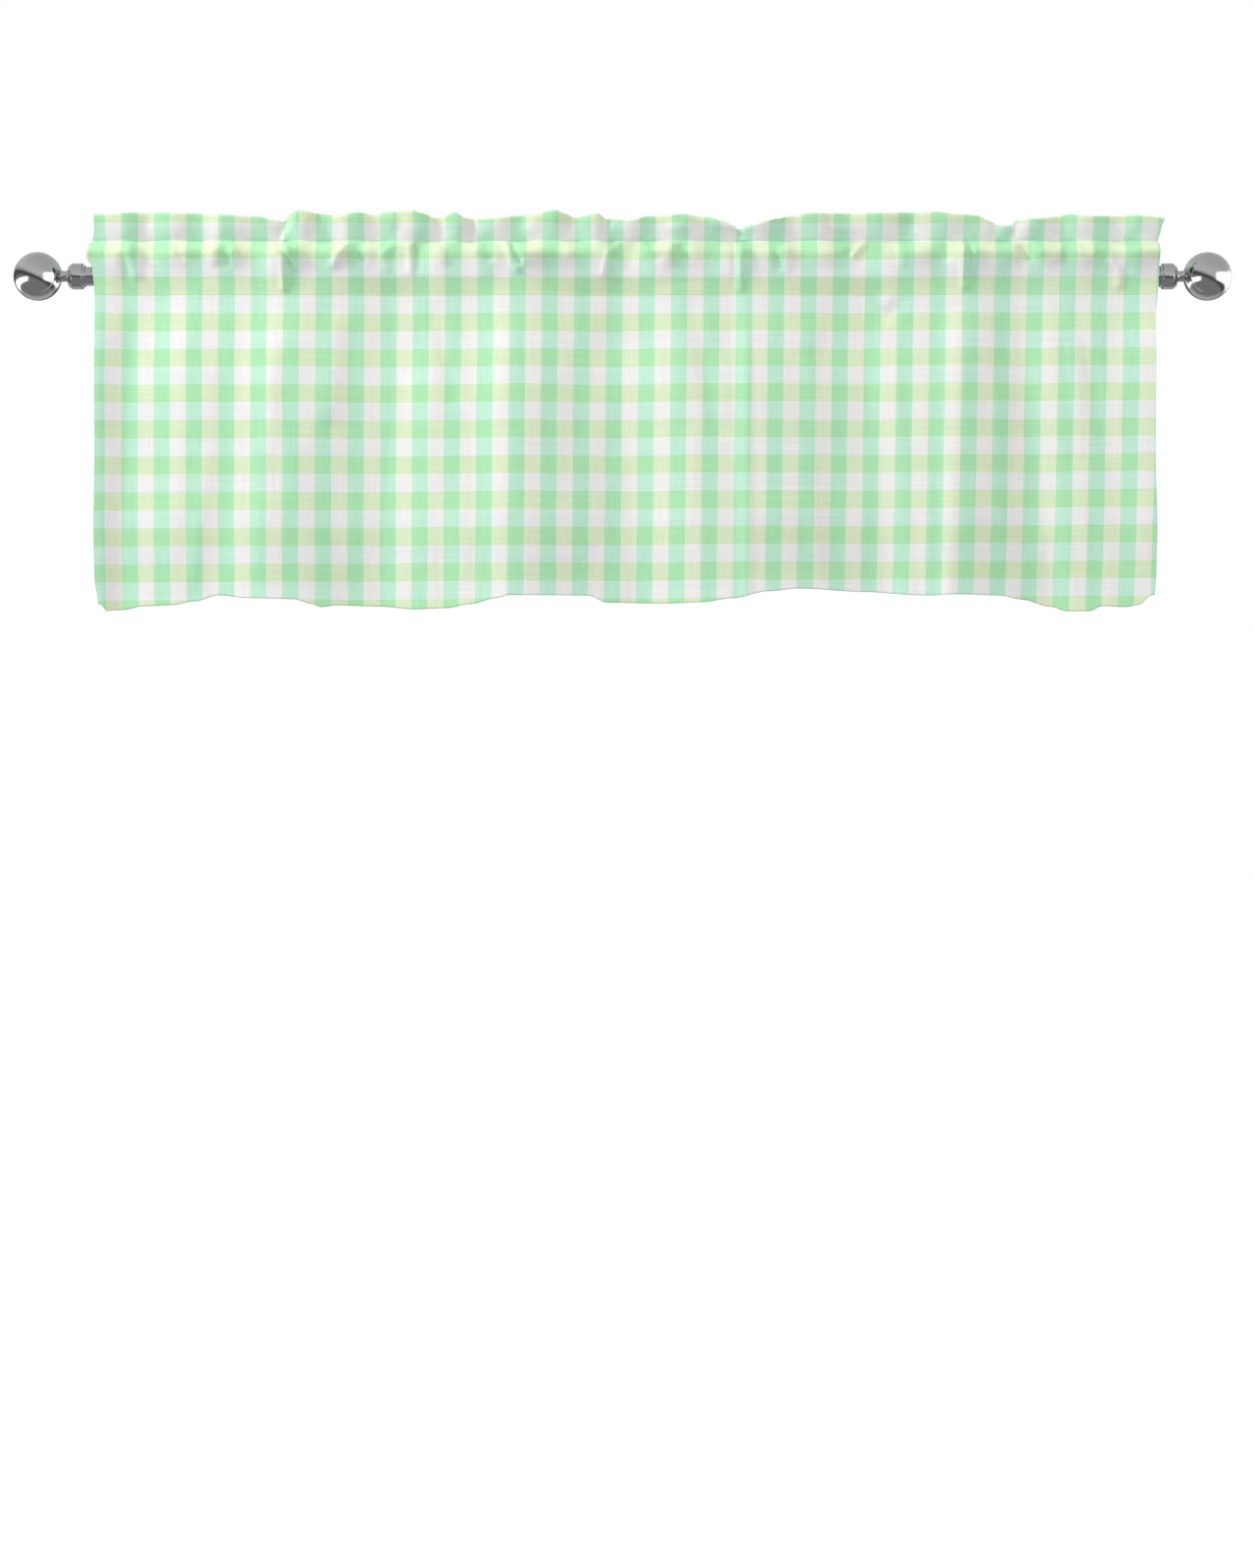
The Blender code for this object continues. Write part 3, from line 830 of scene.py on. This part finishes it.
def mixColour(share, first, second):
    made = Wire.node("ShaderNodeMix", dict(data_type="RGBA"))
    for index, value in ((0, share), (6, first), (7, second)):
        if isinstance(value, Wire):
            Wire.tree.links.new(value.socket, made.inputs[index])
        elif index:
            made.inputs[index].default_value = (*value, 1.0)
        else:
            made.inputs[index].default_value = value
    return Wire(made.outputs[2])


def noise(vector, scale, detail=2.0, roughness=0.5):
    made = Wire.node("ShaderNodeTexNoise", Vector=vector, Scale=scale, Detail=detail, Roughness=roughness)
    return Wire(made.outputs["Fac"])


def smooth(value, start, end):
    # eases from 0 at start to 1 at end
    made = Wire.node("ShaderNodeMapRange", dict(interpolation_type="SMOOTHSTEP"),
                     Value=value, From_Min=start, From_Max=end)
    return Wire(made.outputs["Result"])


def stretched(vector, factors):
    made = Wire.node("ShaderNodeVectorMath", dict(operation="MULTIPLY"), i0=vector, i1=factors)
    return Wire(made.outputs[0])


def newMaterial(name, colour, roughness, metallic=0.0):
    made = bpy.data.materials.new(name)
    made.use_nodes = True
    made.diffuse_color = (*colour, 1.0)
    Wire.tree = made.node_tree
    shader = made.node_tree.nodes["Principled BSDF"]
    shader.inputs["Base Color"].default_value = (*colour, 1.0)
    shader.inputs["Roughness"].default_value = roughness
    shader.inputs["Metallic"].default_value = metallic
    return made, shader


def feed(shader, name, wire):
    Wire.tree.links.new(wire.socket, shader.inputs[name])


def stripeMask(place, period, edge):
    # 1 inside a stripe, 0 outside, with the stripe half as wide as the period
    away = (place / period + 1000.5).maths("FRACT") - 0.5
    away = away.maths("ABSOLUTE")
    return ((0.25 - away) * (period / edge) + 0.5).maths("MINIMUM", 1.0).maths("MAXIMUM", 0.0)


def clothMaterial():
    made, shader = newMaterial("checkedCotton", check["mint"], 0.92)
    place = Wire(Wire.node("ShaderNodeTexCoord").outputs["Object"])
    axes = Wire.node("ShaderNodeSeparateXYZ", Vector=place)
    x, z = Wire(axes.outputs["X"]), Wire(axes.outputs["Z"])
    wander = noise(place, 9.0, 1.0)
    across = x + (z + 0.14) * (x + 0.59) * check["lean"] + (wander - 0.5) * 0.0012
    down = z + x * (z - 0.01) * check["tilt"] + (wander - 0.5) * 0.0008
    green = stripeMask(across - check["acrossStart"], check["acrossPeriod"], check["edge"])
    yellow = stripeMask(down - check["downStart"], check["downPeriod"], check["edge"])
    plain = mixColour(green, check["white"], check["mint"])
    banded = mixColour(green, check["yellow"], check["green"])
    colour = mixColour(yellow, plain, banded)
    # thicker and thinner yarns run along both ways of the weave
    warpSlub = noise(stretched(place, (420.0, 420.0, 7.0)), 1.0, 3.0, 0.6)
    weftSlub = noise(stretched(place, (7.0, 7.0, 420.0)), 1.0, 3.0, 0.6)
    warpFine = noise(stretched(place, (1400.0, 1400.0, 40.0)), 1.0, 1.0)
    weftFine = noise(stretched(place, (40.0, 40.0, 1400.0)), 1.0, 1.0)
    yarns = (warpSlub - 0.5) * 0.16 + (weftSlub - 0.5) * 0.16 + (warpFine - 0.5) * 0.10 + (weftFine - 0.5) * 0.10
    shade = 1.0 + yarns
    shaded = Wire.node("ShaderNodeVectorMath", dict(operation="SCALE"), i0=colour)
    Wire.tree.links.new(shade.socket, shaded.inputs["Scale"])
    feed(shader, "Base Color", Wire(shaded.outputs[0]))
    # plain weave, a little coarser than life so that it shows
    pitch = 2 * math.pi / 0.0009
    warp = (x * pitch).maths("SINE")
    weft = (z * pitch).maths("SINE")
    weave = warp * weft * 0.5 + yarns * 2.2
    bump = Wire.node("ShaderNodeBump", Height=weave, Strength=0.35, Distance=0.00025)
    feed(shader, "Normal", Wire(bump.outputs[0]))
    feed(shader, "Roughness", 0.92 - yarns * 0.3)
    shader.inputs["Specular IOR Level"].default_value = 0.15
    shader.inputs["Sheen Weight"].default_value = 0.12
    shader.inputs["Sheen Roughness"].default_value = 0.6
    return made


def threadMaterial():
    made, shader = newMaterial("sewingThread", (0.60, 0.82, 0.66), 0.75)
    place = Wire(Wire.node("ShaderNodeTexCoord").outputs["Object"])
    twist = noise(stretched(place, (2600.0, 900.0, 900.0)), 1.0, 1.0)
    feed(shader, "Base Color", mixColour(twist, (0.50, 0.74, 0.57), (0.70, 0.88, 0.74)))
    return made


def metalMaterial():
    made, shader = newMaterial("polishedNickel", (0.60, 0.60, 0.61), 0.10, 1.0)
    place = Wire(Wire.node("ShaderNodeTexCoord").outputs["Object"])
    cloud = noise(place, 60.0, 3.0)
    polish = noise(stretched(place, (900.0, 60.0, 60.0)), 1.0, 2.0)
    feed(shader, "Roughness", 0.06 + cloud * 0.05 + polish * 0.04)
    feed(shader, "Base Color", mixColour(cloud, (0.56, 0.56, 0.57), (0.66, 0.66, 0.67)))
    bump = Wire.node("ShaderNodeBump", Height=polish, Strength=0.04, Distance=0.0001)
    feed(shader, "Normal", Wire(bump.outputs[0]))
    return made


def turned(name, profile, side, material):
    # turned about the rod's axis; a profile is (radius, distance out from the collar's mouth)
    steps = rod["steps"]
    closed = profile[0][0] > 0
    mesh = bmesh.new()
    points = [mesh.verts.new((side * (rod["mouth"] + out), 0.0, radius)) for radius, out in profile]
    edges = [mesh.edges.new(pair) for pair in zip(points, points[1:])]
    if closed:
        edges.append(mesh.edges.new((points[-1], points[0])))
    bmesh.ops.spin(
        mesh, geom=points + edges, axis=(1, 0, 0), cent=(0, 0, 0), angle=2 * math.pi, steps=steps
    )
    bmesh.ops.remove_doubles(mesh, verts=mesh.verts, dist=0.00002)
    bmesh.ops.recalc_face_normals(mesh, faces=mesh.faces)
    data = bpy.data.meshes.new(name)
    mesh.to_mesh(data)
    mesh.free()
    data.shade_smooth()
    data.set_sharp_from_angle(angle=math.radians(35))
    piece = bpy.data.objects.new(name, data)
    bpy.context.scene.collection.objects.link(piece)
    data.materials.append(material)
    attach(piece, "root")
    return piece


def rounded(corners, radius=0.0005, steps=3):
    # the profile with its outer corners rounded; a corner is (radius, out, rounded or not)
    made = []
    for index, (r, out, soft) in enumerate(corners):
        if not soft or index in (0, len(corners) - 1):
            made.append((r, out))
            continue
        here = Vector((r, out))
        before = Vector(corners[index - 1][:2]) - here
        after = Vector(corners[index + 1][:2]) - here
        reach = min(radius, before.length * 0.45, after.length * 0.45)
        start, end = here + before.normalized() * reach, here + after.normalized() * reach
        for step in range(steps + 1):
            share = step / steps
            point = start.lerp(here, share).lerp(here.lerp(end, share), share)
            made.append(tuple(point))
    return made


def makeRodAndFinials(material):
    end = rod["mouth"] + rod["socket"] - rod["fit"]
    inner = rod["radius"] - rod["wall"]
    tube = turned("polishedTube", (
        (rod["radius"], end - rod["mouth"]), (rod["radius"], -end - rod["mouth"]),
        (inner, -end - rod["mouth"]), (inner, end - rod["mouth"]),
    ), 1, material)
    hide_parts("rod_tube")
    bore, hole = rod["radius"] + rod["fit"], neck["stud"] + rod["fit"]
    long, wide = collar["length"], collar["radius"]
    collarProfile = rounded((
        (wide - collar["rise"], long, False),
        (wide - collar["rise"], long, False),
        (wide, long - collar["chamfer"], True),
        (wide, collar["lipLength"], True),
        (collar["lipRadius"], collar["lipLength"], False),
        (collar["lipRadius"], 0.0, True),
        (bore, 0.0, False),
        (bore, rod["socket"], False),
        (hole, rod["socket"], False),
        (hole, long, False),
    )[1:])
    centre = ball["centre"] - rod["mouth"]
    seat = centre - math.sqrt(ball["radius"] ** 2 - ball["seat"] ** 2)
    start, stop = long + rod["fit"], seat - rod["fit"]
    necks = [(0.0, stop + neck["seated"]), (neck["stud"], stop + neck["seated"]), (neck["stud"], stop)]
    for step in range(9):
        share = step / 8
        pinch = math.sin(math.pi * share) ** 0.7 if 0 < share < 1 else 0.0
        radius = neck["radius"] - (neck["radius"] - neck["waist"]) * pinch
        necks.append((radius, stop + (start - stop) * share))
    necks += [(neck["stud"], start), (neck["stud"], rod["socket"] + rod["fit"]), (0.0, rod["socket"] + rod["fit"])]
    last = math.pi - math.atan2(ball["seat"], centre - seat)
    shell = []
    for step in range(49):
        turn = last * step / 48
        shell.append((ball["radius"] * math.sin(turn), centre + ball["radius"] * math.cos(turn)))
    depth = seat + neck["seated"] + rod["fit"]
    shell += [(hole, seat), (hole, depth), (0.0, depth)]
    for where, side in (("left", -1), ("right", 1)):
        for name, profile, node in (
            ("Collar", collarProfile, "collar_"),
            ("Neck", necks, "finial_neck_"),
            ("Ball", shell, "finial_ball_"),
        ):
            piece = turned(where + name, profile, side, material)
            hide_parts(node + where)


def makeStage():
    mesh = bmesh.new()
    bmesh.ops.create_grid(mesh, x_segments=1, y_segments=1, size=6.0)
    data = bpy.data.meshes.new("paleFloor")
    mesh.to_mesh(data)
    mesh.free()
    floor = bpy.data.objects.new("paleFloor", data)
    floor.location = (0.0, 0.0, -1.60)
    bpy.context.scene.collection.objects.link(floor)
    made, shader = newMaterial("palePaper", (0.92, 0.92, 0.92), 0.9)
    data.materials.append(made)
    shader.inputs["Emission Color"].default_value = (1.0, 1.0, 1.0, 1.0)
    shader.inputs["Emission Strength"].default_value = 0.35
    floor.visible_glossy = False
    floor.visible_diffuse = False


def softLight(name, place, target, size, watts, colour=(1.0, 1.0, 1.0)):
    data = bpy.data.lights.new(name, "AREA")
    data.shape = "RECTANGLE"
    data.size, data.size_y = size
    data.energy = watts
    data.color = colour
    light = bpy.data.objects.new(name, data)
    light.location = place
    aim = Vector(target) - Vector(place)
    light.rotation_euler = aim.to_track_quat("-Z", "Y").to_euler()
    light.visible_glossy = False
    bpy.context.scene.collection.objects.link(light)
    return light


def makeLights():
    softLight("keyFromLeft", (-3.8, -1.5, 1.8), (0.0, 0.0, -0.15), (0.9, 0.9), 110)
    softLight("leftStrip", (-1.5, -2.6, 0.05), (-0.65, 0.0, 0.0), (0.25, 0.8), 5)
    softLight("rightStrip", (1.5, -2.6, 0.05), (0.65, 0.0, 0.0), (0.25, 0.8), 5)
    world = bpy.data.worlds.new("whiteStudio")
    bpy.context.scene.world = world
    world.use_nodes = True
    Wire.tree = world.node_tree
    for node in list(world.node_tree.nodes):
        world.node_tree.nodes.remove(node)
    rays = Wire.node("ShaderNodeLightPath")
    direction = Wire(Wire.node("ShaderNodeTexCoord").outputs["Generated"])
    axes = Wire.node("ShaderNodeSeparateXYZ", Vector=direction)
    sideways, away, height = (Wire(axes.outputs[name]) for name in "XYZ")
    # what the polished metal mirrors: a grey ceiling, a dark band that runs down to the right, two bright walls
    ramp = Wire.node("ShaderNodeValToRGB", dict(stops=(
        (0.0, (0.24, 0.24, 0.245)),
        (0.30, (0.24, 0.24, 0.245)),
        (0.36, (0.10, 0.10, 0.105)),
        (0.44, (0.06, 0.06, 0.065)),
        (0.50, (0.45, 0.45, 0.46)),
        (0.60, (0.66, 0.66, 0.67)),
        (1.0, (0.52, 0.52, 0.53)),
    )), Fac=(height + sideways * 0.45) * 0.5 + 0.5)
    leftWall = smooth(sideways, -0.52, -0.78) * smooth((height + 0.25).maths("ABSOLUTE"), 0.21, 0.10)
    rightWall = smooth(sideways, 0.42, 0.82) * smooth((height + 0.08).maths("ABSOLUTE"), 0.40, 0.18)
    lowGlow = smooth(away, 0.25, 0.75) * smooth(height, -0.25, -0.45) * 0.30
    dark = 1.0 - smooth(away, 0.86, 0.985) * 0.72
    glow = (leftWall * 2.2 + rightWall * 2.2 + lowGlow) * dark
    toned = Wire.node("ShaderNodeVectorMath", dict(operation="SCALE"), i0=Wire(ramp.outputs[0]))
    Wire.tree.links.new(dark.socket, toned.inputs["Scale"])
    added = Wire.node("ShaderNodeCombineXYZ", X=glow, Y=glow, Z=glow)
    whole = Wire.node("ShaderNodeVectorMath", dict(operation="ADD"), i0=Wire(toned.outputs[0]), i1=Wire(added.outputs[0]))
    mirrored = Wire.node("ShaderNodeBackground", Color=Wire(whole.outputs[0]), Strength=1.0)
    sky = Wire.node("ShaderNodeValToRGB", dict(stops=(
        (0.0, (0.30, 0.30, 0.30)),
        (0.5, (0.68, 0.68, 0.68)),
        (1.0, (1.0, 1.0, 1.0)),
    )), Fac=height * 0.5 + 0.5)
    soft = Wire.node("ShaderNodeBackground", Color=Wire(sky.outputs[0]), Strength=1.12)
    bright = Wire.node("ShaderNodeBackground", Color=(1.0, 1.0, 1.0, 1.0), Strength=1.0)
    first = Wire.node("ShaderNodeMixShader", Fac=Wire(rays.outputs["Is Glossy Ray"]),
                      i1=Wire(soft.outputs[0]), i2=Wire(mirrored.outputs[0]))
    second = Wire.node("ShaderNodeMixShader", Fac=Wire(rays.outputs["Is Camera Ray"]),
                       i1=Wire(first.outputs[0]), i2=Wire(bright.outputs[0]))
    Wire.node("ShaderNodeOutputWorld", Surface=Wire(second.outputs[0]))


def makeCamera():
    data = bpy.data.cameras.new("straightOn")
    data.sensor_fit = "AUTO"
    data.sensor_width = 36.0
    data.lens = 36.0 * view["distance"] / view["longSide"]
    camera = bpy.data.objects.new("straightOn", data)
    camera.location = (view["centreX"], -view["distance"], view["centreZ"])
    camera.rotation_euler = (math.pi / 2, 0.0, 0.0)
    bpy.context.scene.collection.objects.link(camera)
    bpy.context.scene.camera = camera


print("camera, floor and lights")
makeCamera()
makeStage()
makeLights()
bpy.context.scene.view_settings.view_transform = "Standard"

print("rod and finials")
metal = metalMaterial()
makeRodAndFinials(metal)

print("valance cloth")
panel = applyModifiers(makeCloth())
panel.data.materials.append(clothMaterial())
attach(panel, "root")
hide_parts("valance_cloth")

print("sewing")
threads = makeSewing(threadMaterial())
